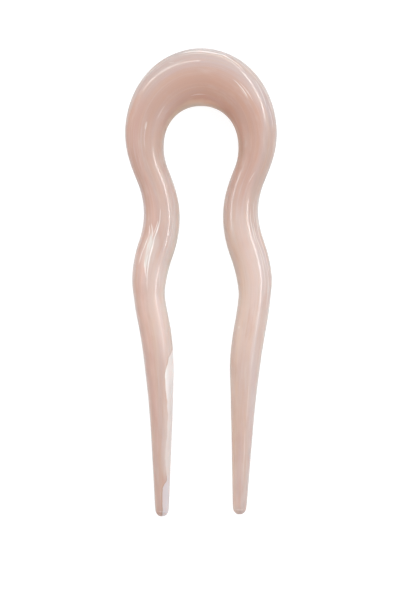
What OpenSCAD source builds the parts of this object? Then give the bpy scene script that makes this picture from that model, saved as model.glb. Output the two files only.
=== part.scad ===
// Hair fork: a thick rounded crown over a round eye, and two waved legs that taper to round tips.
// It is one solid piece, rounded all over. It lies on its flat back at z = 0, with the crown
// towards +Y, the tips towards -Y and its face up. The origin is in the middle of its back.
// All sizes are millimetres on a fork 115 long. A longer or shorter fork has the same shape.

/* [Fork] */
// Length over all, from the top of the crown to the longer leg's tip
fork_length = 115; // [100:1:130]
// Depth of the crown, from its back to its face
crown_deep = 9; // [8:0.25:10]

/* [Crown] */
// Width of the band at the top of the crown
top_wide = 14.2; // [12:0.1:15]
// Width of the band beside the eye
side_wide = 9.5; // [8.5:0.1:10.5]
// Distance between the fork's middle and the middle of the band beside the eye
arch_half = 13.8; // [13:0.1:15]
// Rise of the band's middle line from beside the eye to the top
arch_rise = 15.4; // [14:0.1:17]

/* [Smoothness] */
// Sides of each cross-section
section_sides = 28; // [16:4:32]
// Cross-sections for each row of the leg tables
row_steps = 5; // [3:1:5]
// Cross-sections in each round tip
tip_steps = 5; // [3:1:6]

/* [Hidden] */

// Columns of the leg tables, whose rows run down from the crown:
// distance out from the fork's middle, height, lean outward on the way down in degrees,
// width, and depth as a share of the crown's
OUT = 0;
UP = 1;
LEAN = 2;
WIDE = 3;
DEEP = 4;

// Rows: into the neck, neck, out of the neck, shoulder, below the shoulder,
// waist, three down the taper, and the middle of the round tip
LEFT_LEG = [
    [11.8,  26.2, -23, 8.1, 0.97],
    [ 9.6,  16.5,   0, 8.8, 0.97],
    [11.1,   8.2,  20, 9.0, 0.94],
    [12.7,   1.0,   6, 8.4, 0.91],
    [12.6,  -4.0,  -6, 7.6, 0.87],
    [11.3, -11.2, -10, 7.6, 0.84],
    [10.4, -18.5,  -5, 7.3, 0.79],
    [ 9.9, -28.3,  -2, 6.1, 0.67],
    [ 9.7, -40.6,   0, 4.8, 0.53],
    [ 9.6, -55.8,   0, 3.4, 0.37]
];
RIGHT_LEG = [
    [11.9,  26.5, -23, 8.0, 0.97],
    [ 9.7,  17.0,   0, 8.6, 0.97],
    [11.2,   8.7,  20, 9.0, 0.94],
    [13.1,   1.2,   7, 8.6, 0.91],
    [13.1,  -4.0,  -5, 7.8, 0.87],
    [12.1, -10.7, -10, 7.8, 0.84],
    [11.0, -18.0,  -6, 7.6, 0.79],
    [10.4, -28.3,  -3, 6.2, 0.67],
    [10.0, -40.0,  -2, 4.9, 0.53],
    [ 9.5, -55.3,  -2, 3.4, 0.37]
];

// Height of the widest part of the eye, where the crown passes into the legs
eye_up = 35;
// Angle between the cross-sections that shape the crown
crown_turn = 22.5;

crown_top = eye_up + arch_rise + top_wide / 2;
tip_low = min(tip_end(LEFT_LEG), tip_end(RIGHT_LEG));

function last(list) = list[len(list) - 1];
function tip_end(leg) = last(leg)[UP] - last(leg)[WIDE] / 2;
function turned(list) = [for (i = [len(list) - 1 : -1 : 0]) list[i]];

// Columns of a cross-section: its middle, the heading of the band there in degrees from +X,
// then its width and depth in the columns WIDE and DEEP, and the height of its middle.
// The band is followed from the left tip up, over the crown, and down to the right tip.
HEADING = 2;
MIDDLE = 5;

// A leg's rows as cross-sections. The side is -1 on the left and 1 on the right.
function leg_sections(leg, side) = [
    for (row = leg)
        let (deep = crown_deep * row[DEEP])
        [side * row[OUT], row[UP], side * (row[LEAN] - 90), row[WIDE], deep, deep / 2]
];

// The crown is half an ellipse. Its band swells from beside the eye to the top.
function crown_sections() = [
    for (turn = [0 : crown_turn : 180])
        let (swell = (sin(turn) + sin(turn) ^ 2) / 2)
        [
            -arch_half * cos(turn),
            eye_up + arch_rise * sin(turn),
            atan2(arch_rise * cos(turn), arch_half * sin(turn)),
            side_wide + (top_wide - side_wide) * swell,
            crown_deep,
            crown_deep / 2
        ]
];

main_sections = concat(
    turned(leg_sections(LEFT_LEG, -1)),
    crown_sections(),
    leg_sections(RIGHT_LEG, 1)
);

function place(section) = [section.x, section.y];
function ahead(section) = [cos(section[HEADING]), sin(section[HEADING])];
// Distance from main section i to the next, and how much a column changes for each millimetre of it
function span(i) = norm(place(main_sections[i + 1]) - place(main_sections[i]));
function change(i, column) = (main_sections[i + 1][column] - main_sections[i][column]) / span(i);

// Slope of a column at a main section. It lies between the changes before and after,
// weighted by the spans, and is 0 where the column turns, so that nothing bulges in between.
function slope(i, column) =
    i == 0 ? change(0, column)
    : i == len(main_sections) - 1 ? change(i - 1, column)
    : change(i - 1, column) * change(i, column) <= 0 ? 0
    : let (near = 2 * span(i) + span(i - 1), far = span(i) + 2 * span(i - 1))
        (near + far) / (near / change(i - 1, column) + far / change(i, column));

// Smooth step from one value to the next, at a share t of the way, with the slopes at both ends
function blend(t, from, to, slope_from, slope_to) =
    (2 * t ^ 3 - 3 * t ^ 2 + 1) * from
    + (3 * t ^ 2 - 2 * t ^ 3) * to
    + (t ^ 3 - 2 * t ^ 2 + t) * slope_from
    + (t ^ 3 - t ^ 2) * slope_to;

// How fast the blend moves there
function blend_rate(t, from, to, slope_from, slope_to) =
    6 * (t - t ^ 2) * (to - from)
    + (3 * t ^ 2 - 4 * t + 1) * slope_from
    + (3 * t ^ 2 - 2 * t) * slope_to;

// A column's value at a share t of the way from main section i to the next
function between(i, t, column) = blend(
    t,
    main_sections[i][column],
    main_sections[i + 1][column],
    slope(i, column) * span(i),
    slope(i + 1, column) * span(i)
);

// The whole cross-section there
function section_between(i, t) =
    let (
        from = main_sections[i],
        to = main_sections[i + 1],
        middle = blend(t, place(from), place(to), ahead(from) * span(i), ahead(to) * span(i)),
        rate = blend_rate(t, place(from), place(to), ahead(from) * span(i), ahead(to) * span(i)),
        deep = between(i, t, DEEP)
    )
    [middle.x, middle.y, atan2(rate.y, rate.x), between(i, t, WIDE), deep, deep / 2];

// A round tip beyond an end section. The way is 1 ahead of it and -1 behind it.
function tip_place(section, way, angle) =
    place(section) + way * sin(angle) * section[WIDE] / 2 * ahead(section);
function tip_section(section, way, angle) =
    let (middle = tip_place(section, way, angle))
    [
        middle.x,
        middle.y,
        section[HEADING],
        section[WIDE] * cos(angle),
        section[DEEP] * cos(angle),
        section[MIDDLE]
    ];
function tip_sections(section, way) = [
    for (step = [1 : tip_steps - 1]) tip_section(section, way, 90 * step / tip_steps)
];
function tip_point(section, way) =
    let (end = tip_place(section, way, 90))
    [end.x, end.y, section[MIDDLE]];

all_sections = concat(
    turned(tip_sections(main_sections[0], -1)),
    [
        for (i = [0 : len(main_sections) - 2], step = [0 : row_steps - 1])
            section_between(i, step / row_steps)
    ],
    [last(main_sections)],
    tip_sections(last(main_sections), 1)
);

// Points of an oval cross-section, from the left of the heading over the top to the right and under
function oval(section) = [
    for (corner = [0 : section_sides - 1])
        let (
            angle = 360 * corner / section_sides,
            aside = section[WIDE] / 2 * cos(angle),
            up = section[MIDDLE] + section[DEEP] / 2 * sin(angle)
        )
        [
            section.x - aside * sin(section[HEADING]),
            section.y + aside * cos(section[HEADING]),
            up
        ]
];

// The skin between the ovals, closed by a fan of triangles at each tip
module swept_band() {
    ring_points = [for (section = all_sections) each oval(section)];
    points = concat(
        ring_points,
        [tip_point(main_sections[0], -1), tip_point(last(main_sections), 1)]
    );
    first_tip = len(ring_points);
    last_tip = first_tip + 1;
    last_ring = first_tip - section_sides;
    corners = [for (corner = [0 : section_sides - 1]) [corner, (corner + 1) % section_sides]];
    sides = [
        for (ring = [0 : section_sides : last_ring - 1], corner = corners)
            let (
                a = ring + corner[0],
                b = ring + corner[1],
                c = b + section_sides,
                d = a + section_sides
            )
            each [[a, d, c], [a, c, b]]
    ];
    fans = [
        for (corner = corners)
            each [
                [first_tip, corner[0], corner[1]],
                [last_tip, last_ring + corner[1], last_ring + corner[0]]
            ]
    ];
    polyhedron(points, concat(sides, fans), convexity = 6);
}

// The whole fork in its pale pink beige, set to its length with the origin in the middle
module fork() {
    color([0.84, 0.72, 0.67])
        scale(fork_length / (crown_top - tip_low))
            translate([0, -(crown_top + tip_low) / 2, 0])
                swept_band();
}

fork();
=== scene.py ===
from collections import namedtuple
from itertools import accumulate
from math import atan2, cos, pi, radians, sin, tau

import bpy
from bpy.props import FloatProperty, FloatVectorProperty, IntProperty, PointerProperty
from bpy.types import Operator, Panel, PropertyGroup
from mathutils import Matrix, Vector
from mathutils.kdtree import KDTree


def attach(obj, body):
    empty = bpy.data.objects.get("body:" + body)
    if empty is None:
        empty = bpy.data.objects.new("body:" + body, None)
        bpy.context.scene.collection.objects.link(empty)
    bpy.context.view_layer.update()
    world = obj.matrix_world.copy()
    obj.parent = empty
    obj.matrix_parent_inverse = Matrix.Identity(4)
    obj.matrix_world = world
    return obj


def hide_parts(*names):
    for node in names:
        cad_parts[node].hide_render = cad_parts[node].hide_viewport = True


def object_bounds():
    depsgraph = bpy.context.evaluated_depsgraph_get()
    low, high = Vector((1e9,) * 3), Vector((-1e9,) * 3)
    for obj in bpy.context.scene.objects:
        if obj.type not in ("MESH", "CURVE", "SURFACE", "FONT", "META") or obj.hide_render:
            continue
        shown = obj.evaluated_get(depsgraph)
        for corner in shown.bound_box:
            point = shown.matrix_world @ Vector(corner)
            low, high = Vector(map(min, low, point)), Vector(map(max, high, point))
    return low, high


bl_info = {
    "name": "Polished Hair Fork",
    "version": (1, 0, 0),
    "blender": (4, 5, 0),
    "location": "3D View > Sidebar > Hair Fork",
    "description": "Models a one-piece hair fork of polished plate and the studio it lies in",
    "category": "Add Mesh",
}

# The fixed frame that the pieces stand in, its outer box, and the depth of the crown,
# which is the depth of the box
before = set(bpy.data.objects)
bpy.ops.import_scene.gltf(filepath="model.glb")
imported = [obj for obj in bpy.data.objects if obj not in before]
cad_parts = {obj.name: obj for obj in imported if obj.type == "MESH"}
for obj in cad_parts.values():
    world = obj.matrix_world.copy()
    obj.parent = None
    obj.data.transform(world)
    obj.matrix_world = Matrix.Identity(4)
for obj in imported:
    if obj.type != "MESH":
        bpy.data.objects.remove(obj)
CAD_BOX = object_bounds()
CROWN_DEEP = CAD_BOX[1].z - CAD_BOX[0].z

MM = 0.001

# The legs' rows run down from the crown: into the neck, neck, out of the neck, shoulder,
# below the shoulder, waist, three down the taper, and the middle of the round tip.
# Out from the fork's middle, up, and width are in millimetres, the lean outward on the way
# down is in degrees, and the depth is a share of the crown's.
LegRow = namedtuple("LegRow", "out up lean wide deep")
LEFT_LEG = (
    LegRow(11.8, 26.2, -23, 8.1, 0.97),
    LegRow(9.6, 16.5, 0, 8.8, 0.97),
    LegRow(11.1, 8.2, 20, 9.0, 0.94),
    LegRow(12.7, 1.0, 6, 8.4, 0.91),
    LegRow(12.6, -4.0, -6, 7.6, 0.87),
    LegRow(11.3, -11.2, -10, 7.6, 0.84),
    LegRow(10.4, -18.5, -5, 7.3, 0.79),
    LegRow(9.9, -28.3, -2, 6.1, 0.67),
    LegRow(9.7, -40.6, 0, 4.8, 0.53),
    LegRow(9.6, -55.8, 0, 3.4, 0.37),
)
RIGHT_LEG = (
    LegRow(11.9, 26.5, -23, 8.0, 0.97),
    LegRow(9.7, 17.0, 0, 8.6, 0.97),
    LegRow(11.2, 8.7, 20, 9.0, 0.94),
    LegRow(13.1, 1.2, 7, 8.6, 0.91),
    LegRow(13.1, -4.0, -5, 7.8, 0.87),
    LegRow(12.1, -10.7, -10, 7.8, 0.84),
    LegRow(11.0, -18.0, -6, 7.6, 0.79),
    LegRow(10.4, -28.3, -3, 6.2, 0.67),
    LegRow(10.0, -40.0, -2, 4.9, 0.53),
    LegRow(9.5, -55.3, -2, 3.4, 0.37),
)
LEFT, RIGHT = -1, 1
CROWN_PARTS = 8
# Angles in degrees at which the cage's rings close each round tip
TIP_ANGLES = (30, 55, 75)
# Sections for each row of the leg tables in the line that the grain is measured on
GRAIN_STEPS = 24

# A cross-section of the fork: its middle, the way the band heads there, its width and depth
Section = namedtuple("Section", "middle heading wide deep")

# The photo's frame in pixels, a pixel's size at the fork, and the pixel where the middle of
# the fork lies
FRAME_WIDE, FRAME_HIGH = 401, 601
PIXEL = 0.24552 * MM
FORK_MIDDLE_AT = (201.0, 282.8)
# The height at which a pixel has that size, as a share of the crown's depth
OUTLINE_LEVEL = 0.35

# Sizes of the studio in metres: the floor's side, and how near and far the camera sees
FLOOR_SIDE = 12
CLIP_START, CLIP_END = 0.01, 20
# Grains of the floor's paper for each metre
PAPER_GRAINS = 900

# The studio's lights: where each starts and ends and how wide it is, in metres, and its
# brightness as a share of the brightness set for strips or for panels
Lamp = namedtuple("Lamp", "name start end wide share")
STRIPS = (
    Lamp("near_strip", (0.1022, -0.056, 0.098), (0.0942, 0.078, 0.098), 0.018, 0.28),
    Lamp("right_strip", (0.4097, 0.135, 0.299), (0.415, 0.60, 0.315), 0.024, 0.56),
    Lamp("corner_strip", (0.268, 0.389, 0.150), (0.06, 0.50, 0.014), 0.018, 0.28),
    Lamp("back_strip", (0.0, 0.42, 0.35), (-0.54, 0.339, 0.107), 0.028, 0.24),
    Lamp("left_strip", (-0.502, -0.12, 0.248), (-0.49, 0.27, 0.17), 0.055, 0.40),
)
PANELS = (
    Lamp("right_panel", (0.55, -0.50, 0.16), (0.60, 0.40, 0.16), 0.26, 0.6),
    Lamp("high_panel", (0.45, -0.50, 0.50), (0.45, 0.50, 0.50), 0.25, 1.0),
)


def screen_colour(red, green, blue):
    """A colour as a screen shows it, 0 to 255, turned into the linear light that Blender uses."""
    shares = (value / 255 for value in (red, green, blue))
    return tuple(
        share / 12.92 if share <= 0.04045 else ((share + 0.055) / 1.055) ** 2.4 for share in shares
    )


class ForkShape(PropertyGroup):
    """Sizes of the crown and of the cage. Tables hold the legs' sizes, and the frame the depth."""

    top_wide: FloatProperty(
        name="Crown width",
        description="Width of the band at the top of the crown",
        default=14.2 * MM,
        subtype="DISTANCE",
    )
    side_wide: FloatProperty(
        name="Side width",
        description="Width of the band beside the eye",
        default=9.5 * MM,
        subtype="DISTANCE",
    )
    arch_half: FloatProperty(
        name="Arch half width",
        description="Distance between the fork's middle and the middle of the band beside the eye",
        default=13.8 * MM,
        subtype="DISTANCE",
    )
    arch_rise: FloatProperty(
        name="Arch rise",
        description="Rise of the band's middle line from beside the eye to the top",
        default=15.4 * MM,
        subtype="DISTANCE",
    )
    eye_up: FloatProperty(
        name="Eye height",
        description="Height of the widest part of the eye above the fork's middle",
        default=35 * MM,
        subtype="DISTANCE",
    )
    ring_sides: IntProperty(
        name="Ring sides",
        description="Corners of each ring of the cage",
        default=16,
        min=8,
    )
    row_steps: IntProperty(
        name="Rings for each row",
        description="Rings of the cage for each row of the leg tables",
        default=6,
        min=2,
    )
    smoothing: IntProperty(
        name="Smoothing",
        description="Times that the cage is subdivided into the finished surface",
        default=2,
        min=1,
        max=3,
    )


class PlateAndPaintedLight(PropertyGroup):
    """Colours of the plate that the fork is cut from, and of the light, shade and highlights
    painted on it.
    """

    plate: FloatVectorProperty(
        name="Plate",
        description="Main colour of the plate",
        subtype="COLOR",
        default=screen_colour(173, 145, 134),
    )
    # Partly the plate's own tone and partly painted shade in the crown
    rich: FloatVectorProperty(
        name="Rich",
        description="Deeper colour of the plate in the crown",
        subtype="COLOR",
        default=screen_colour(168, 132, 117),
    )
    # Partly the plate's own tone and partly painted light, on the shoulders and the right leg's
    # outside
    pale: FloatVectorProperty(
        name="Pale",
        description="Paler colour of the plate in the shoulders and the legs",
        subtype="COLOR",
        default=screen_colour(191, 169, 160),
    )
    # Mostly a painted reflection: the greyish sheen of the outer sides that face the light, and of
    # the rims
    cool: FloatVectorProperty(
        name="Cool",
        description="Greyish colour on the outer side of the crown and of the right leg",
        subtype="COLOR",
        default=screen_colour(167, 150, 145),
    )
    # Over the eye, partly painted bounce light; on the inner side of the right leg, painted shade
    amber: FloatVectorProperty(
        name="Amber",
        description="Light warm colour over the eye and on the inner side of the right leg",
        subtype="COLOR",
        default=screen_colour(190, 162, 142),
    )
    # On the inside of the left leg and on the right leg's outer rim, a painted sheen; in the clouds
    # and fibres, the plate's own
    milky: FloatVectorProperty(
        name="Milky",
        description="Whitish colour of the clouds and fibres, and of the inside of the left leg",
        subtype="COLOR",
        default=screen_colour(189, 177, 171),
    )
    # Along both edges of the band, and on the left leg's outer edge, it is painted shade
    brown: FloatVectorProperty(
        name="Brown",
        description="Warm brown along the edges, in both necks and beside the vein",
        subtype="COLOR",
        default=screen_colour(151, 119, 100),
    )
    # Partly painted shade
    tan: FloatVectorProperty(
        name="Tan",
        description="Warm tan on the right of the eye",
        subtype="COLOR",
        default=screen_colour(158, 116, 88),
    )
    # Also the colour of the painted highlights and reflections among them
    pale_mark: FloatVectorProperty(
        name="PaleMark",
        description="Bright white of the fine flecks, threads and wisps",
        subtype="COLOR",
        default=screen_colour(225, 220, 217),
    )
    # Partly a painted reflection
    smoke_and_sheen: FloatVectorProperty(
        name="Smoke",
        description="Whitish grey between and round the wisps on the left shoulder",
        subtype="COLOR",
        default=screen_colour(206, 207, 203),
    )
    vein: FloatVectorProperty(
        name="Vein",
        description="Pearly white of the vein in the left leg",
        subtype="COLOR",
        default=screen_colour(208, 203, 201),
    )
    lilac: FloatVectorProperty(
        name="Lilac",
        description="Bluish white that the vein turns to near the tip",
        subtype="COLOR",
        default=screen_colour(198, 199, 208),
    )


class StudioSetup(PropertyGroup):
    """The camera's lens and how bright the studio is."""

    lens: FloatProperty(
        name="Lens",
        description="Focal length, long so that the fork shows without perspective",
        default=200,
        subtype="DISTANCE_CAMERA",
    )
    surround: FloatProperty(
        name="Surround",
        description="Brightness of the white surround on average",
        default=0.80,
    )
    soft_change: FloatProperty(
        name="Soft change",
        description="How much brighter than that the surround is on its soft side",
        default=0.52,
    )
    soft_way: FloatVectorProperty(
        name="Soft side",
        description="Direction of the surround's bright side",
        subtype="DIRECTION",
        default=(0.0, 0.7, 0.71),
    )
    strip_glare: FloatProperty(
        name="Strip brightness",
        description="Brightness of the thin strip lights, where white paper is 1",
        default=30,
    )
    panel_glare: FloatProperty(
        name="Panel brightness",
        description="Brightness of the two soft panels on the right, where white paper is 1",
        default=0.5,
    )
    floor_glow: FloatProperty(
        name="Floor glow",
        description="How much the floor glows, where white paper is 1, to thin out shadows",
        default=0.87,
    )


def leg_sections(rows, side):
    """The sections of a leg, down from the crown."""
    sections = []
    for row in rows:
        deep = CROWN_DEEP * row.deep
        middle = Vector((side * row.out * MM, row.up * MM, deep / 2))
        heading = side * radians(row.lean - 90)
        sections.append(Section(middle, heading, row.wide * MM, deep))
    return sections


def crown_sections(shape):
    """The sections of the crown, half an ellipse from left to right that swells to the top."""
    sections = []
    for part in range(CROWN_PARTS + 1):
        turn = pi * part / CROWN_PARTS
        middle = Vector((
            -shape.arch_half * cos(turn),
            shape.eye_up + shape.arch_rise * sin(turn),
            CROWN_DEEP / 2,
        ))
        heading = atan2(shape.arch_rise * cos(turn), shape.arch_half * sin(turn))
        swell = (sin(turn) + sin(turn) ** 2) / 2
        wide = shape.side_wide + (shape.top_wide - shape.side_wide) * swell
        sections.append(Section(middle, heading, wide, CROWN_DEEP))
    return sections


def main_sections(shape):
    """All main sections, from the left tip up, over the crown, and down to the right tip."""
    left = leg_sections(LEFT_LEG, LEFT)
    right = leg_sections(RIGHT_LEG, RIGHT)
    return left[::-1] + crown_sections(shape) + right


def blend(t, start, end, leave, arrive):
    """A smooth step from start to end at share t of the way, with the slopes at both ends."""
    return (
        (2 * t**3 - 3 * t**2 + 1) * start
        + (3 * t**2 - 2 * t**3) * end
        + (t**3 - 2 * t**2 + t) * leave
        + (t**3 - t**2) * arrive
    )


def blend_rate(t, start, end, leave, arrive):
    """How fast that step moves there."""
    return (
        6 * (t - t**2) * (end - start)
        + (3 * t**2 - 4 * t + 1) * leave
        + (3 * t**2 - 2 * t) * arrive
    )


def gentle_slopes(values, spans):
    """A slope at each value that lets nothing bulge between them."""
    changes = [(after - before) / span for before, after, span in zip(values, values[1:], spans)]
    slopes = [changes[0]]
    for i in range(1, len(changes)):
        before, after = changes[i - 1], changes[i]
        if before * after <= 0:
            slopes.append(0.0)
            continue
        near = 2 * spans[i] + spans[i - 1]
        far = spans[i] + 2 * spans[i - 1]
        slopes.append((near + far) / (near / before + far / after))
    return slopes + [changes[-1]]


def smooth_sections(main, steps):
    """The main sections and others between them on smooth curves, that many steps for each span."""
    flat = [section.middle.xy for section in main]
    spans = [(after - before).length for before, after in zip(flat, flat[1:])]
    wide_slopes = gentle_slopes([section.wide for section in main], spans)
    deep_slopes = gentle_slopes([section.deep for section in main], spans)
    sections = []
    for i, span in enumerate(spans):
        start, end = main[i], main[i + 1]
        leave = span * Vector((cos(start.heading), sin(start.heading)))
        arrive = span * Vector((cos(end.heading), sin(end.heading)))
        for step in range(steps):
            t = step / steps
            place = blend(t, flat[i], flat[i + 1], leave, arrive)
            way = blend_rate(t, flat[i], flat[i + 1], leave, arrive)
            wide = blend(t, start.wide, end.wide, span * wide_slopes[i], span * wide_slopes[i + 1])
            deep = blend(t, start.deep, end.deep, span * deep_slopes[i], span * deep_slopes[i + 1])
            middle = Vector((place.x, place.y, deep / 2))
            sections.append(Section(middle, atan2(way.y, way.x), wide, deep))
    return sections + [main[-1]]


def tip_sections(section, way):
    """Sections that shrink round beyond an end section: way is 1 ahead of it and -1 behind it."""
    ahead = Vector((cos(section.heading), sin(section.heading), 0))
    sections = []
    for angle in TIP_ANGLES:
        reach = way * section.wide / 2 * sin(radians(angle))
        shrink = cos(radians(angle))
        sections.append(section._replace(
            middle=section.middle + reach * ahead,
            wide=section.wide * shrink,
            deep=section.deep * shrink,
        ))
    return sections


def add_first_ring(section, sides):
    """An upright oval ring at the first section, left in edit mode with the ring selected."""
    bpy.ops.object.select_all(action="DESELECT")
    bpy.ops.mesh.primitive_circle_add(
        vertices=sides,
        radius=0.5,
        fill_type="NOTHING",
        location=section.middle,
        rotation=(pi / 2, 0, section.heading + pi / 2),
    )
    bpy.ops.object.transform_apply(location=True, rotation=True, scale=True)
    bpy.ops.object.mode_set(mode="EDIT")
    bpy.ops.mesh.select_all(action="SELECT")
    size = (section.wide, section.wide, section.deep)
    bpy.ops.transform.resize(value=size, center_override=section.middle)


def extrude_to(section, before):
    """The last ring is extruded on to the next section, turned and resized there."""
    step = section.middle - before.middle
    bpy.ops.mesh.extrude_region_move(TRANSFORM_OT_translate={"value": step})
    turn = (section.heading - before.heading + pi) % tau - pi
    bpy.ops.transform.rotate(value=-turn, orient_axis="Z", center_override=section.middle)
    wider = section.wide / before.wide
    deeper = section.deep / before.deep
    bpy.ops.transform.resize(value=(wider, wider, deeper), center_override=section.middle)


def sweep_band(sections, sides):
    """A closed band through the sections, extruded ring by ring and closed at both tips."""
    add_first_ring(sections[0], sides)
    for before, section in zip(sections, sections[1:]):
        extrude_to(section, before)
    bpy.ops.mesh.fill_grid()
    bpy.ops.mesh.select_all(action="DESELECT")
    bpy.ops.mesh.select_non_manifold()
    bpy.ops.mesh.fill_grid()
    bpy.ops.mesh.select_all(action="SELECT")
    bpy.ops.mesh.normals_make_consistent(inside=False)
    bpy.ops.object.mode_set(mode="OBJECT")
    return bpy.context.object


def subdivide(piece, levels):
    """The piece's cage becomes its smooth surface."""
    smoother = piece.modifiers.new("Smoothing", "SUBSURF")
    smoother.levels = levels
    smoother.render_levels = levels
    bpy.ops.object.modifier_apply(modifier=smoother.name)
    bpy.ops.object.shade_smooth()


def record_grain(piece, main):
    """Each point's place in the straight rod, kept as attributes.

    The one named grain is in millimetres: along from the top of the crown, right leg positive,
    aside to the outer side, and up. The plate's streaks and vein follow it round the bends.
    The one named side is 1 at the outer edge of the band and -1 at the inner edge.
    """
    line = smooth_sections(main, GRAIN_STEPS)
    lengths = [
        (after.middle.xy - before.middle.xy).length for before, after in zip(line, line[1:])
    ]
    along = list(accumulate(lengths, initial=0))
    top = max(range(len(line)), key=lambda k: line[k].middle.y)
    tree = KDTree(len(line))
    for k, section in enumerate(line):
        tree.insert((section.middle.x, section.middle.y, 0), k)
    tree.balance()
    grain = []
    sides = []
    for vertex in piece.data.vertices:
        _, k, _ = tree.find((vertex.co.x, vertex.co.y, 0))
        section = line[k]
        offset = vertex.co - section.middle
        ahead = Vector((cos(section.heading), sin(section.heading), 0))
        aside = Vector((-ahead.y, ahead.x, 0))
        place = (along[k] - along[top] + offset.dot(ahead), offset.dot(aside), offset.z)
        grain.extend(length / MM for length in place)
        sides.append(offset.dot(aside) / (section.wide / 2))
    piece.data.attributes.new("grain", "FLOAT_VECTOR", "POINT").data.foreach_set("vector", grain)
    piece.data.attributes.new("side", "FLOAT", "POINT").data.foreach_set("value", sides)


class Shade:
    """One output of a material's nodes. Arithmetic on it adds Math nodes."""

    def __init__(self, recipe, socket):
        self.recipe = recipe
        self.socket = socket

    def math(self, operation, *values):
        """A Math node of that operation on the values."""
        return self.recipe.node("ShaderNodeMath", {"operation": operation}, values)

    def __add__(self, other):
        return self.math("ADD", self, other)

    __radd__ = __add__

    def __sub__(self, other):
        return self.math("SUBTRACT", self, other)

    def __rsub__(self, other):
        return self.math("SUBTRACT", other, self)

    def __mul__(self, other):
        return self.math("MULTIPLY", self, other)

    __rmul__ = __mul__

    def __abs__(self):
        return self.math("ABSOLUTE", self)

    def clamp(self):
        """Held between 0 and 1."""
        return self.math("MAXIMUM", self.math("MINIMUM", self, 1), 0)

    def over(self, low, high):
        """A soft step, 0 below low and 1 above high."""
        settings = {"interpolation_type": "SMOOTHSTEP"}
        return self.recipe.node("ShaderNodeMapRange", settings, (self, low, high))


class Recipe:
    """The nodes of a material or of the world."""

    def __init__(self, target):
        target.use_nodes = True
        self.target = target
        self.tree = target.node_tree
        self.tree.nodes.clear()

    def node(self, kind, settings=None, values=(), output=0):
        """A node of that kind. Its settings are set first, then its sockets' values or links.

        Values are in the order of the sockets, or a dictionary by their names or places.
        """
        node = self.tree.nodes.new(kind)
        for name, setting in (settings or {}).items():
            setattr(node, name, setting)
        pairs = values.items() if isinstance(values, dict) else enumerate(values)
        for key, value in pairs:
            if isinstance(value, Shade):
                self.tree.links.new(value.socket, node.inputs[key])
            else:
                node.inputs[key].default_value = value
        return Shade(self, node.outputs[output]) if node.outputs else None

    def mix(self, share, first, second):
        """Two colours mixed by the share of the second."""
        settings = {"data_type": "RGBA"}
        first, second = (
            colour if isinstance(colour, Shade) else (*colour, 1) for colour in (first, second)
        )
        return self.node("ShaderNodeMix", settings, {0: share, 6: first, 7: second}, output=2)

    def add_vector(self, share, added, vector):
        """A vector and that share of another one."""
        values = (share, added, vector)
        return self.node("ShaderNodeVectorMath", {"operation": "MULTIPLY_ADD"}, values)

    def multiply(self, first, second):
        """Two vectors or colours multiplied."""
        return self.node("ShaderNodeVectorMath", {"operation": "MULTIPLY"}, (first, second))

    def noise(self, grain, scale, detail, roughness=0.5):
        """Noise from 0 to 1 in the grain's own space, with a scale for each way."""
        values = {
            "Vector": self.multiply(grain, scale),
            "Scale": 1.0,
            "Detail": detail,
            "Roughness": roughness,
        }
        return self.node("ShaderNodeTexNoise", None, values)

    def profile(self, along, points, low=0, high=1):
        """A height between low and high that follows given points along the rod.

        Each point is given as along and height.
        """
        start, end = points[0][0], points[-1][0]
        share = (along - start) * (1 / (end - start))
        curve = self.node("ShaderNodeFloatCurve", None, {"Value": share.clamp()})
        line = curve.socket.node.mapping.curves[0]
        for _ in points[1:-1]:
            line.points.new(0, 0)
        for mark, (where, height) in zip(line.points, points):
            mark.location = ((where - start) / (end - start), (height - low) / (high - low))
            mark.handle_type = "VECTOR"
        curve.socket.node.mapping.update()
        return curve * (high - low) + low


# The edge of the white vein in the left leg, from the tip up to the waist: along the rod
# from the top of the crown, and aside of its middle line, in millimetres
VEIN_EDGE = (
    (-117.0, -0.10),
    (-115.4, -0.12),
    (-111.5, -0.05),
    (-109.6, -0.15),
    (-108.5, -0.68),
    (-107.6, -1.25),
    (-106.6, -1.20),
    (-103.9, -0.85),
    (-100.2, -0.95),
    (-96.0, -1.35),
    (-91.9, -1.65),
    (-87.9, -1.55),
    (-85.5, -1.32),
    (-83.2, -1.28),
    (-81.2, -1.30),
    (-79.8, -1.80),
    (-77.6, -2.55),
    (-76.0, -3.45),
    (-75.0, -4.20),
)
# The lowest and the highest value that the curve through those places can hold
VEIN_LOW, VEIN_HIGH = -5.0, 1.0

# How strongly the vein shows along it, from 0 to 1
VEIN_STRENGTH = (
    (-117, 0.5), (-111, 0.55), (-108.5, 0.55), (-106, 0.45), (-98, 0.50), (-93, 0.65), (-89, 0.85),
    (-85, 1.0), (-75, 1.0),
)
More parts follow.
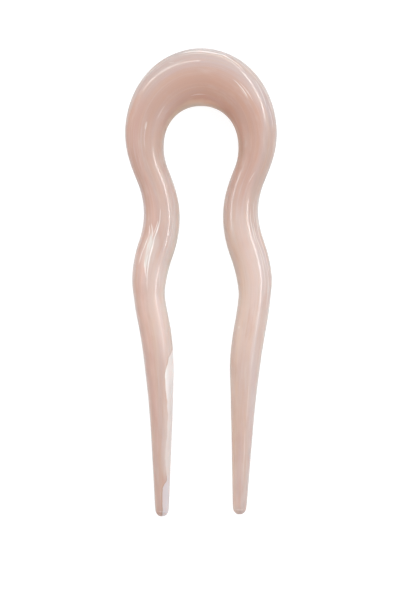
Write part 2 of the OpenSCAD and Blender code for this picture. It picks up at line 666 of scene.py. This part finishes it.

# Pale marks, in millimetres: where the middle lies, how far it drifts
# aside for each millimetre along, half its length, half its width, and how strongly it shows.
# Some are flecks and threads in the plate, and the rest painted highlights and reflections.
PaleMark = namedtuple("PaleMark", "along aside lean long wide show")
FLECKS_AND_HIGHLIGHTS = (
    # wisps on the outside of the left shoulder: partly white inclusions and partly a painted
    # reflection
    PaleMark(-57.2, 0.52, 0.05, 4.0, 0.15, 0.80),
    PaleMark(-52.0, 0.78, 0.06, 5.0, 0.22, 1.00),
    PaleMark(-45.6, 0.72, -0.13, 3.2, 0.19, 1.00),
    PaleMark(-42.0, 0.36, -0.03, 1.8, 0.13, 0.61),
    PaleMark(-55.8, 1.25, 0.28, 2.4, 0.22, 0.81),
    PaleMark(-53.0, 2.92, -0.06, 2.3, 0.15, 0.60),
    PaleMark(-49.6, 2.65, -0.05, 2.6, 0.16, 0.81),
    PaleMark(-46.3, 2.68, 0.12, 1.7, 0.19, 0.70),
    PaleMark(-45.5, 1.20, -0.18, 2.4, 0.14, 0.81),
    PaleMark(-46.2, 1.95, 0.25, 2.2, 0.15, 0.81),
    # threads beside the left leg's inner edge
    PaleMark(-57.5, -2.50, 0.07, 4.0, 0.13, 0.19),
    PaleMark(-44.0, -2.90, 0.00, 4.5, 0.13, 0.14),
    # left side of the crown; the two along its middle are a painted highlight
    PaleMark(-22.5, 0.00, 0.00, 4.0, 0.17, 0.22),
    PaleMark(-19.6, 0.00, 0.00, 1.2, 0.32, 0.39),
    PaleMark(-14.8, -2.40, -0.02, 2.8, 0.20, 0.17),
    PaleMark(-1.0, -4.40, 0.00, 3.5, 0.16, 0.28),
    PaleMark(-5.4, 4.90, -0.70, 0.6, 0.14, 0.22),
    # painted reflection along the outer edge of the crown
    PaleMark(0.5, 6.15, -0.05, 4.5, 0.20, 0.90),
    PaleMark(-1.0, 5.70, -0.03, 3.0, 0.13, 0.30),
    PaleMark(2.5, 6.55, -0.06, 5.0, 0.13, 0.33),
    PaleMark(5.6, 5.60, -0.26, 3.0, 0.16, 0.70),
    PaleMark(8.5, 5.75, -0.15, 4.5, 0.13, 0.28),
    PaleMark(-8.5, 5.90, 0.08, 5.0, 0.13, 0.22),
    # painted highlights on the right side of the crown and in the right neck
    PaleMark(10.2, 1.20, -0.14, 3.3, 0.14, 0.70),
    PaleMark(11.4, 1.65, -0.09, 2.9, 0.13, 0.45),
    PaleMark(11.2, 0.75, -0.08, 2.0, 0.13, 0.19),
    PaleMark(13.5, 4.35, -0.20, 3.5, 0.15, 0.40),
    PaleMark(15.0, 5.05, -0.12, 5.0, 0.14, 0.30),
    PaleMark(18.5, 4.10, -0.06, 3.0, 0.13, 0.30),
    PaleMark(32.3, 0.75, -0.14, 1.8, 0.17, 0.28),
    # painted reflection: pale streaks on the outside of the right shoulder
    PaleMark(41.5, 3.20, 0.05, 4.0, 0.13, 0.30),
    PaleMark(45.0, 2.40, 0.02, 6.0, 0.13, 0.35),
    PaleMark(50.0, 3.00, 0.01, 8.0, 0.14, 0.35),
    PaleMark(56.0, 2.50, -0.02, 7.0, 0.13, 0.30),
    PaleMark(60.0, 3.20, -0.03, 6.0, 0.13, 0.30),
    PaleMark(50.0, 3.75, -0.01, 9.0, 0.20, 0.35),
    # right leg: mostly painted faint highlights
    PaleMark(69.0, 1.45, 0.02, 4.0, 0.14, 0.22),
    PaleMark(70.4, -2.70, 0.00, 0.4, 0.37, 0.22),
    PaleMark(88.0, 1.10, -0.02, 7.0, 0.13, 0.17),
    PaleMark(99.5, 0.60, -0.01, 7.0, 0.13, 0.22),
    # across both tips
    PaleMark(-115.3, -0.10, 0.00, 0.25, 1.10, 0.28),
    PaleMark(114.9, 0.00, 0.00, 0.25, 1.10, 0.25),
)

# Broader greyish ones between the wisps and round them, partly a painted reflection
SMOKE_AND_SHEEN = (
    PaleMark(-50.5, 1.40, 0.05, 6.0, 2.30, 0.26),
    PaleMark(-53.4, 1.60, 0.08, 2.4, 0.43, 0.60),
    PaleMark(-50.5, 1.15, 0.04, 3.4, 0.50, 0.40),
    PaleMark(-54.2, 1.25, 0.06, 2.2, 0.30, 0.45),
    PaleMark(-49.6, 1.85, 0.05, 3.2, 0.52, 0.65),
)

# How pale and how rich the colour is, from 0 to 1, along the rod from the left tip to the right
# one:
# partly the plate's own tone and partly painted light and shade, paler on the shoulders and deeper
# in the crown
PALENESS = (
    (-117, 0.0), (-108, 0.1), (-100, 0.35), (-80, 0.42), (-71, 0.9), (-64, 0.95), (-56, 0.8),
    (-48, 0.5), (-38, 0.2), (-30, 0.0), (32, 0.0), (39, 0.25), (46, 0.75), (53, 0.95), (66, 0.95),
    (72, 0.85), (80, 0.5), (90, 0.4), (117, 0.4),
)
RICHNESS = (
    (-117, 0.4), (-105, 0.2), (-98, 0.0), (-24, 0.0), (-15, 0.5), (-8, 0.8), (0, 1.0), (12, 1.0),
    (20, 0.9), (30, 0.6), (42, 0.1), (50, 0.0), (117, 0.0),
)

# A zone of the band. Each of its pairs is a fade, from none at the first place to all at the
# second, in at the start and, where there is an end, out again. Places across the band are -1
# at its inner edge and 1 at its outer edge, and places along it are in millimetres from the
# top of the crown, with the right leg positive.
Zone = namedtuple("Zone", "across along across_end along_end", defaults=(None, None))

# Zones where the colour turns to another one, in the order that they are laid on, and how far it
# turns.
# Several are painted light and shade: lighter and greyer on sides that face the light, warmer and
# browner on sides away from it. Some show only where the plate is rich.
Turn = namedtuple("Turn", "colour strength zone where_rich", defaults=(False,))
TURNS = (
    # painted reflection: greyish sheen on the outer half of the crown and of the right leg, which
    # face the light
    Turn("cool", 0.90, Zone(across=(-0.05, 0.75), along=(-18, -6))),
    # outside of the band from beside the eye to the right neck
    Turn("brown", 0.35, Zone(across=(0.2, 0.5), along=(14, 26), along_end=(58, 42))),
    # painted light: paler on the outside of the right leg, which faces the light
    Turn("pale", 0.30, Zone(across=(-0.05, 0.75), along=(52, 75))),
    # over the eye: partly the plate's own warmth and partly painted bounce light
    Turn("amber", 0.90, Zone(across=(-0.70, -0.92), along=(15, 4)), where_rich=True),
    # right of the eye: partly the plate's own warmth and partly painted shade
    Turn("tan", 0.50, Zone(across=(-0.5, -0.95), along=(6, 14), along_end=(36, 24))),
    # painted shade: warmer on the inner side of the right leg, away from the light
    Turn("amber", 0.35, Zone(across=(-0.2, -0.6), across_end=(-1.0, -0.8), along=(38, 50))),
    # inner side of the left neck
    Turn("cool", 0.40, Zone(across=(-0.1, -0.6), along=(-20, -28), along_end=(-54, -44))),
    Turn("brown", 0.20, Zone(
        across=(-0.15, -0.35), across_end=(-1.0, -0.8), along=(-14, -24), along_end=(-48, -40),
    )),
    # painted sheen: milky on the inside of the left leg, which faces the light
    Turn("milky", 0.65, Zone(across=(-0.45, -0.8), along=(-26, -46))),
)
# Painted shade: the outer edge of the band on the left, away from the light, is browner
LEFT_EDGE_SHADE = Zone(
    across=(0.3, 0.8), across_end=(1.1, 0.9), along=(-12, -30), along_end=(-118, -85),
)

# Zones where the colour is redder or darker, and what they add to its red, green and blue, where
# 1 is all of it. The first is painted shade, and the second partly painted shade.
Tint = namedtuple("Tint", "added zone")
TINTS = (
    # painted shade: redder on the outer half of the left leg, away from the light
    Tint((0.07, 0.0, 0.0), Zone(across=(0.1, 0.5), along=(-10, -25), along_end=(-105, -88))),
    # over the eye and right of it: partly the plate's own warmth and partly painted shade
    Tint((0.07, 0.0, 0.0), Zone(across=(-0.5, -0.8), along=(-8, 2), along_end=(26, 18))),
    # between the right of the crown's outer edge and the highlight beside it
    Tint((-0.10, -0.11, -0.09), Zone(
        across=(0.58, 0.68), across_end=(0.95, 0.85), along=(8, 12), along_end=(25, 17),
    )),
)

# A worn patch on the right of the crown, just outside the middle of the band
WORN_PATCH = Zone(across=(0.0, 0.3), across_end=(0.48, 0.42), along=(13, 16), along_end=(38, 35))

# How well each side of the rod is polished, along it from the left tip to the right one
OUTER_POLISH = (
    (-117, 0.4), (-82, 0.4), (-76, 0.0), (-17, 0.0), (-11, 0.9), (14, 1), (17.5, 0.9), (20.5, 0.0),
    (35, 0.0), (39, 0.8), (65, 0.7), (68, 0.2), (80, 0.4), (117, 0.4),
)
INNER_POLISH = (
    (-117, 0.4), (-83, 0.4), (-79, 0.1), (-75, 0.45), (-57, 0.75), (-55, 0.65), (-53.5, 0.0),
    (-51, 0.0), (-48.5, 0.5), (-44, 0.8), (-36, 0.7), (-27, 0.9), (-25, 0.1), (30, 0.1), (35, 0.5),
    (44, 0.6), (47, 0.1), (78, 0.1), (90, 0.4), (117, 0.4),
)


def zone_share(zone, along, side):
    """How much a point lies in that zone, from 0 to 1."""
    share = side.over(*zone.across) * along.over(*zone.along)
    if zone.across_end:
        share = share * side.over(*zone.across_end)
    if zone.along_end:
        share = share * along.over(*zone.along_end)
    return share


def vein_shades(recipe, grain, along, aside):
    """How much a point lies in the vein, in the haze beside it and in the line along its edge."""
    edge = recipe.profile(along, VEIN_EDGE, VEIN_LOW, VEIN_HIGH)
    wander = recipe.noise(grain, (0.5, 0.6, 0.6), detail=4) - 0.5
    inside = edge + wander * 0.5 - aside
    on_leg = along.over(-74.5, -75.5)
    vein = inside.over(-0.08, 0.15) * on_leg * recipe.profile(along, VEIN_STRENGTH)
    haze = inside.over(-1.3, 0.0) * along.over(-108.5, -105.0) * along.over(-87.0, -93.0)
    ends = along.over(-86.0, -81.0) * 0.7 + along.over(-105.0, -107.0)
    seam = inside.over(-0.22, -0.05) * inside.over(0.15, 0.0) * on_leg * ends
    return vein, haze, seam


def pale_mark_shades(recipe, grain, along, aside, flecks):
    """How strongly these pale marks show at a point."""
    aside = aside + (recipe.noise(grain, (0.25, 0.8, 0.8), detail=2) - 0.5) * 0.3
    total = 0
    for pale_mark in flecks:
        ahead = along - pale_mark.along
        across = (aside - ahead * pale_mark.lean - pale_mark.aside) * (1 / pale_mark.wide)
        ahead = ahead * (1 / pale_mark.long)
        reach = ahead * ahead + across * across
        total = total + reach.over(1.0, 0.2) * pale_mark.show
    threads = recipe.noise(grain, (0.25, 4.0, 4.0), detail=2)
    return (total * (0.65 + threads.over(0.35, 0.60) * 0.45)).clamp()


def plate_light_and_shade(recipe, grain, along, side, colours):
    """The plate's colour, which drifts along the rod and across it, with painted light and shade on
    its sides and painted shade and reflection at its edges.
    """
    drift = recipe.noise(grain, (0.08, 0.3, 0.3), detail=3) - 0.5
    along = along + drift * 12
    side = side + drift * 0.4
    rich = recipe.profile(along, RICHNESS)
    colour = recipe.mix(recipe.profile(along, PALENESS), colours.plate, colours.pale)
    colour = recipe.mix(rich, colour, colours.rich)
    for turn in TURNS:
        share = zone_share(turn.zone, along, side) * turn.strength
        if turn.where_rich:
            share = share * rich
        colour = recipe.mix(share, colour, getattr(colours, turn.colour))
    # Painted shade: browner towards both edges of the band, and more on the left leg's outer edge
    edge_shade = abs(side).over(0.7, 1.0) * (1 - rich * 0.9) * (0.38 - along.over(56, 70) * 0.2)
    edge_shade = edge_shade + zone_share(LEFT_EDGE_SHADE, along, side) * 0.4
    tips = abs(along).over(114, 116.5) * 0.2
    colour = recipe.mix((edge_shade + tips).clamp(), colour, colours.brown)
    # Painted reflection: greyish along the outer rim, and whitish on the right leg's outer rim
    painted_rim = side.over(0.80, 1.0)
    colour = recipe.mix(painted_rim * 0.85, colour, colours.cool)
    return recipe.mix(painted_rim * abs(along).over(38, 52) * 0.48, colour, colours.milky)


def warm_and_cool(recipe, grain, along, side, colour):
    """The colour in streaks a little warmer or cooler, redder or darker in some zones, partly as
    painted shade, and greyer at both edges, a painted reflection and shade.
    """
    warmth = recipe.noise(grain, (0.05, 0.8, 0.8), detail=3) - 0.5
    tint = recipe.add_vector(warmth, (0.11, 0.0, -0.25), (1.0, 1.0, 1.0))
    for zone_tint in TINTS:
        tint = recipe.add_vector(zone_share(zone_tint.zone, along, side), zone_tint.added, tint)
    # Painted reflection and shade: both edges of the band lose red and turn greyer
    painted_rim = abs(side).over(0.85, 1.0)
    tint = recipe.add_vector(painted_rim, (-0.11, -0.01, 0.0), tint)
    return recipe.multiply(colour, tint)


def polish(recipe, grain, along, side):
    """How well a point is polished, from 0 to 1, by where it lies along each side of the rod."""
    along = along + (recipe.noise(grain, (0.15, 0.6, 0.6), detail=1) - 0.5) * 3
    outer = recipe.profile(along, OUTER_POLISH)
    inner = recipe.profile(along, INNER_POLISH)
    shine = inner + (outer - inner) * side.over(-0.2, 0.2)
    shine = shine * (1 - zone_share(WORN_PATCH, along, side))
    return shine * (1 - abs(side).over(0.72, 1.0) * 0.7)


def with_clouds(recipe, grain, along, side, fibres, colours, colour):
    """The colour with broad clouds, milky streaks and fine fibres laid over it."""
    clouds = recipe.noise(grain, (0.12, 0.40, 0.40), detail=3)
    milk = recipe.noise(grain, (0.025, 0.55, 0.55), detail=4, roughness=0.6)
    colour = recipe.mix(clouds.over(0.50, 0.75) * 0.30, colour, colours.rich)
    colour = recipe.mix(clouds.over(0.48, 0.25) * 0.25, colour, colours.milky)
    colour = recipe.mix(milk.over(0.50, 0.85) * 0.25, colour, colours.milky)
    # Pale fibres are fainter in the inner half of the crown
    faint = 1 - abs(along).over(34, 22) * side.over(0.3, 0.0) * 0.55
    colour = recipe.mix(fibres.over(0.52, 0.72) * faint * 0.24, colour, colours.milky)
    return recipe.mix(fibres.over(0.48, 0.30) * 0.22, colour, colours.rich)


def with_flecks(recipe, grain, along, aside, colours, colour):
    """The colour with the greyish smoke and then the white flecks laid over it, among them painted
    highlights and reflections.
    """
    for flecks, pale in ((SMOKE_AND_SHEEN, colours.smoke_and_sheen), (FLECKS_AND_HIGHLIGHTS, colours.pale_mark)):
        share = pale_mark_shades(recipe, grain, along, aside, flecks)
        colour = recipe.mix(share * 0.8, colour, pale)
    return colour


def with_vein(recipe, grain, along, aside, side, colours, colour):
    """The colour with the white vein, the haze beside it and the line along its edge."""
    vein, haze, seam = vein_shades(recipe, grain, along, aside)
    colour = recipe.mix(haze * 0.45, colour, colours.milky)
    pearl = recipe.mix(along.over(-105.5, -108.5), colours.vein, colours.lilac)
    colour = recipe.mix(vein, colour, pearl)
    # Towards the leg's inner edge the vein is duller
    dull = side.over(-0.4, -1.0) * (0.55 - along.over(-88, -80) * 0.3)
    colour = recipe.mix(vein * dull, colour, colours.cool)
    return recipe.mix(seam * 0.55, colour, colours.brown)


def polished_relief(recipe, grain):
    """The surface's broad waves and fine lines, as hand polishing leaves them."""
    waves = recipe.noise(grain, (0.10, 0.25, 0.25), detail=1)
    lines = recipe.noise(grain, (0.04, 1.6, 1.6), detail=2)
    values = {"Strength": 1.0, "Distance": MM, "Height": waves * 0.03 + lines * 0.002}
    return recipe.node("ShaderNodeBump", None, values)


def plate_material(colours):
    """Polished acetate plate: clouds and streaks along the grain and one white vein, with painted
    light, shade and highlights laid over them.
    """
    recipe = Recipe(bpy.data.materials.new("polished_acetate"))
    grain = recipe.node("ShaderNodeAttribute", {"attribute_name": "grain"}, output=1)
    along = recipe.node("ShaderNodeSeparateXYZ", None, (grain,), output=0)
    aside = recipe.node("ShaderNodeSeparateXYZ", None, (grain,), output=1)
    side = recipe.node("ShaderNodeAttribute", {"attribute_name": "side"}, output=2)

    fibres = recipe.noise(grain, (0.03, 2.6, 2.6), detail=3, roughness=0.6)
    colour = plate_light_and_shade(recipe, grain, along, side, colours)
    colour = with_clouds(recipe, grain, along, side, fibres, colours, colour)
    colour = warm_and_cool(recipe, grain, along, side, colour)
    colour = with_flecks(recipe, grain, along, aside, colours, colour)
    colour = with_vein(recipe, grain, along, aside, side, colours, colour)
    shine = polish(recipe, grain, along, side)
    roughness = 0.50 - shine * 0.08 + fibres * 0.06
    shader = recipe.node(
        "ShaderNodeBsdfPrincipled",
        {"subsurface_method": "RANDOM_WALK"},
        {
            "Base Color": colour,
            "Roughness": roughness,
            "IOR": 1.48,
            "Specular IOR Level": 0.8,
            "Normal": polished_relief(recipe, grain),
            "Subsurface Weight": 0.8,
            "Subsurface Radius": (1.0, 0.7, 0.6),
            "Subsurface Scale": 1.2 * MM,
            "Coat Weight": shine,
            "Coat Roughness": 0.05,
            "Coat IOR": 1.5,
        },
    )
    recipe.node("ShaderNodeOutputMaterial", None, {"Surface": shader})
    return recipe.target


def floor_material(glow):
    """A plain matt white sheet with an even glow."""
    recipe = Recipe(bpy.data.materials.new("white_paper"))
    grain = recipe.node("ShaderNodeTexCoord", output=3)
    tooth = recipe.noise(grain, (PAPER_GRAINS, PAPER_GRAINS, PAPER_GRAINS), detail=2)
    shader = recipe.node(
        "ShaderNodeBsdfPrincipled",
        None,
        {
            "Base Color": (0.2, 0.2, 0.2, 1),
            "Roughness": 0.85 + tooth * 0.1,
            "Specular IOR Level": 0.1,
            "Emission Color": (1, 1, 1, 1),
            "Emission Strength": glow,
        },
    )
    recipe.node("ShaderNodeOutputMaterial", None, {"Surface": shader})
    return recipe.target


def dress(piece, material):
    """The piece has this one material."""
    piece.data.materials.clear()
    piece.data.materials.append(material)


class HAIRFORK_OT_add_fork(Operator):
    """Model the fork as one band swept over the crown, and give it its polished plate"""

    bl_idname = "hairfork.add_fork"
    bl_label = "Add Fork"

    def execute(self, context):
        shape = context.scene.hairfork_shape
        main = main_sections(shape)
        rings = smooth_sections(main, shape.row_steps)
        left_tip = tip_sections(rings[0], -1)[::-1]
        right_tip = tip_sections(rings[-1], 1)
        # The smoothed surface lies inside its cage, so the cage is that much larger
        spread = 3 / (2 + cos(tau / shape.ring_sides))
        cage = [
            section._replace(wide=section.wide * spread, deep=section.deep * spread)
            for section in left_tip + rings + right_tip
        ]
        piece = sweep_band(cage, shape.ring_sides)
        piece.name = "fork_band"
        subdivide(piece, shape.smoothing)
        record_grain(piece, main)
        dress(piece, plate_material(context.scene.hairfork_plate))
        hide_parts("fork")
        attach(piece, "root")
        return {"FINISHED"}


def add_floor(glow):
    """A wide plain floor under the fork, with an even glow."""
    bpy.ops.object.select_all(action="DESELECT")
    bpy.ops.mesh.primitive_plane_add(size=FLOOR_SIDE)
    floor = bpy.context.object
    floor.name = "floor"
    dress(floor, floor_material(glow))


def add_lamp(lamp, brightness):
    """A flat light from the lamp's start to its end, facing the fork."""
    start, end = Vector(lamp.start), Vector(lamp.end)
    bpy.ops.object.light_add(type="AREA", location=(start + end) / 2)
    light = bpy.context.object
    light.name = lamp.name
    light.data.shape = "RECTANGLE"
    light.data.size = (end - start).length
    light.data.size_y = lamp.wide
    # A flat light as bright as white paper gives pi watts for each square metre
    light.data.energy = brightness * lamp.share * pi * light.data.size * lamp.wide
    light.visible_camera = False
    # Its length lies from start to end, and its back is away from the fork at the origin
    long_way = (end - start).normalized()
    side = light.location.cross(long_way).normalized()
    back = long_way.cross(side)
    light.rotation_euler = Matrix((long_way, side, back)).transposed().to_euler()


def add_camera(lens):
    """Straight above the fork with the crown up, framed as the photo frames it."""
    bpy.ops.object.camera_add()
    camera = bpy.context.object
    camera.name = "camera"
    camera.data.lens = lens
    # Blender lays the sensor's width along the frame's long side
    high = FRAME_HIGH * PIXEL
    distance = high * lens / camera.data.sensor_width
    camera.location = (
        (FRAME_WIDE / 2 - FORK_MIDDLE_AT[0]) * PIXEL,
        (FORK_MIDDLE_AT[1] - FRAME_HIGH / 2) * PIXEL,
        OUTLINE_LEVEL * CROWN_DEEP + distance,
    )
    camera.data.clip_start = CLIP_START
    camera.data.clip_end = CLIP_END
    bpy.context.scene.camera = camera


def white_surround(setup):
    """A white surround that grows brighter to the soft side, high above the crown."""
    recipe = Recipe(bpy.data.worlds.new("white_surround"))
    way = recipe.node("ShaderNodeTexCoord", output=0)
    settings = {"operation": "DOT_PRODUCT"}
    toward = recipe.node("ShaderNodeVectorMath", settings, (way, setup.soft_way), output=1)
    strength = setup.surround + toward * setup.soft_change
    values = {"Color": (1, 1, 1, 1), "Strength": strength}
    background = recipe.node("ShaderNodeBackground", None, values)
    recipe.node("ShaderNodeOutputWorld", None, {"Surface": background})
    return recipe.target


class HAIRFORK_OT_add_studio(Operator):
    """Set up the floor, the soft lights and the camera above the fork"""

    bl_idname = "hairfork.add_studio"
    bl_label = "Add Studio"

    def execute(self, context):
        setup = context.scene.hairfork_studio
        add_floor(setup.floor_glow)
        for lamp in STRIPS:
            add_lamp(lamp, setup.strip_glare)
        for lamp in PANELS:
            add_lamp(lamp, setup.panel_glare)
        context.scene.world = white_surround(setup)
        context.scene.view_settings.view_transform = "Standard"
        add_camera(setup.lens)
        return {"FINISHED"}


class HAIRFORK_PT_panel(Panel):
    """Sizes, colours and steps of the hair fork"""

    bl_label = "Hair Fork"
    bl_idname = "HAIRFORK_PT_panel"
    bl_space_type = "VIEW_3D"
    bl_region_type = "UI"
    bl_category = "Hair Fork"

    def draw(self, context):
        for group in (
            context.scene.hairfork_shape,
            context.scene.hairfork_plate,
            context.scene.hairfork_studio,
        ):
            box = self.layout.box()
            for name in group.__annotations__:
                box.prop(group, name)
        self.layout.operator(HAIRFORK_OT_add_fork.bl_idname)
        self.layout.operator(HAIRFORK_OT_add_studio.bl_idname)


CLASSES = (
    ForkShape,
    PlateAndPaintedLight,
    StudioSetup,
    HAIRFORK_OT_add_fork,
    HAIRFORK_OT_add_studio,
    HAIRFORK_PT_panel,
)


def register():
    for cls in CLASSES:
        bpy.utils.register_class(cls)
    bpy.types.Scene.hairfork_shape = PointerProperty(type=ForkShape)
    bpy.types.Scene.hairfork_plate = PointerProperty(type=PlateAndPaintedLight)
    bpy.types.Scene.hairfork_studio = PointerProperty(type=StudioSetup)


def unregister():
    del bpy.types.Scene.hairfork_studio
    del bpy.types.Scene.hairfork_plate
    del bpy.types.Scene.hairfork_shape
    for cls in reversed(CLASSES):
        bpy.utils.unregister_class(cls)


def write_sizes():
    """Brings the view layer up to date. No boxes are worked out or written here."""
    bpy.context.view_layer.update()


def main():
    register()
    bpy.ops.hairfork.add_fork()
    bpy.ops.hairfork.add_studio()
    write_sizes()


if __name__ == "__main__":
    main()
